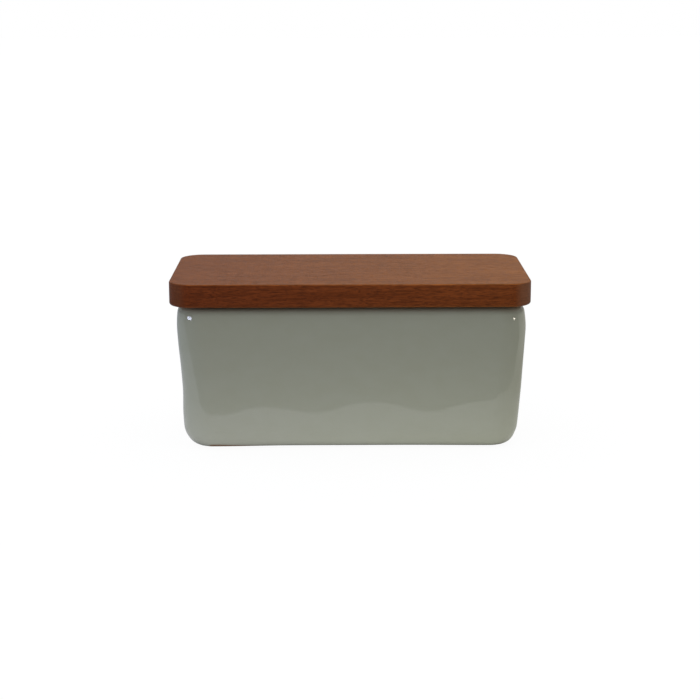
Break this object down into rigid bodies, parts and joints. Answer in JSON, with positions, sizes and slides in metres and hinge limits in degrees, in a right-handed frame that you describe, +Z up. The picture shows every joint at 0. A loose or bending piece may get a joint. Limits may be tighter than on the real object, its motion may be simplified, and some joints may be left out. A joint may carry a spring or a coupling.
{
  "type": "salt box",
  "caption": "Glazed stoneware salt box, long and low, with an overhanging hardwood lid on hidden butt hinges at the back.",
  "frame": {"origin": "on the surface that the box stands on, under the middle of the lid's outline", "axes": "+X to the right along the long side, +Y towards the hinges at the back, +Z up"},
  "size_m": [0.152, 0.076, 0.073],
  "materials": {
    "glazed_stoneware": "glossy grey-green glaze, unglazed foot",
    "acacia": "oiled, reddish brown",
    "silicone": "translucent silicone",
    "fibre": "black fibre",
    "stainless_steel": "satin stainless steel"
  },
  "bodies": {
    "box": {"stoneware_box": "glazed_stoneware", "left_hinge_box_leaf": "stainless_steel", "left_hinge_pin": "stainless_steel", "left_hinge_pad": "fibre", "left_box_bolts": "stainless_steel", "left_fibre_washers": "fibre", "left_steel_washers": "stainless_steel", "left_cap_nuts": "stainless_steel", "right_hinge_box_leaf": "stainless_steel", "right_hinge_pin": "stainless_steel", "right_hinge_pad": "fibre", "right_box_bolts": "stainless_steel", "right_fibre_washers": "fibre", "right_steel_washers": "stainless_steel", "right_cap_nuts": "stainless_steel"},
    "lid": {"lid_board": "acacia", "lid_gasket": "silicone", "left_hinge_lid_leaf": "stainless_steel", "left_lid_screws": "stainless_steel", "right_hinge_lid_leaf": "stainless_steel", "right_lid_screws": "stainless_steel"}
  },
  "joints": [
    {"name": "lid_hinge", "type": "hinge", "parent": "box", "child": "lid", "pos_m": [0, 0.03645, 0.06235], "axis": [-1, 0, 0], "range_deg": [0, 150]}
  ]
}
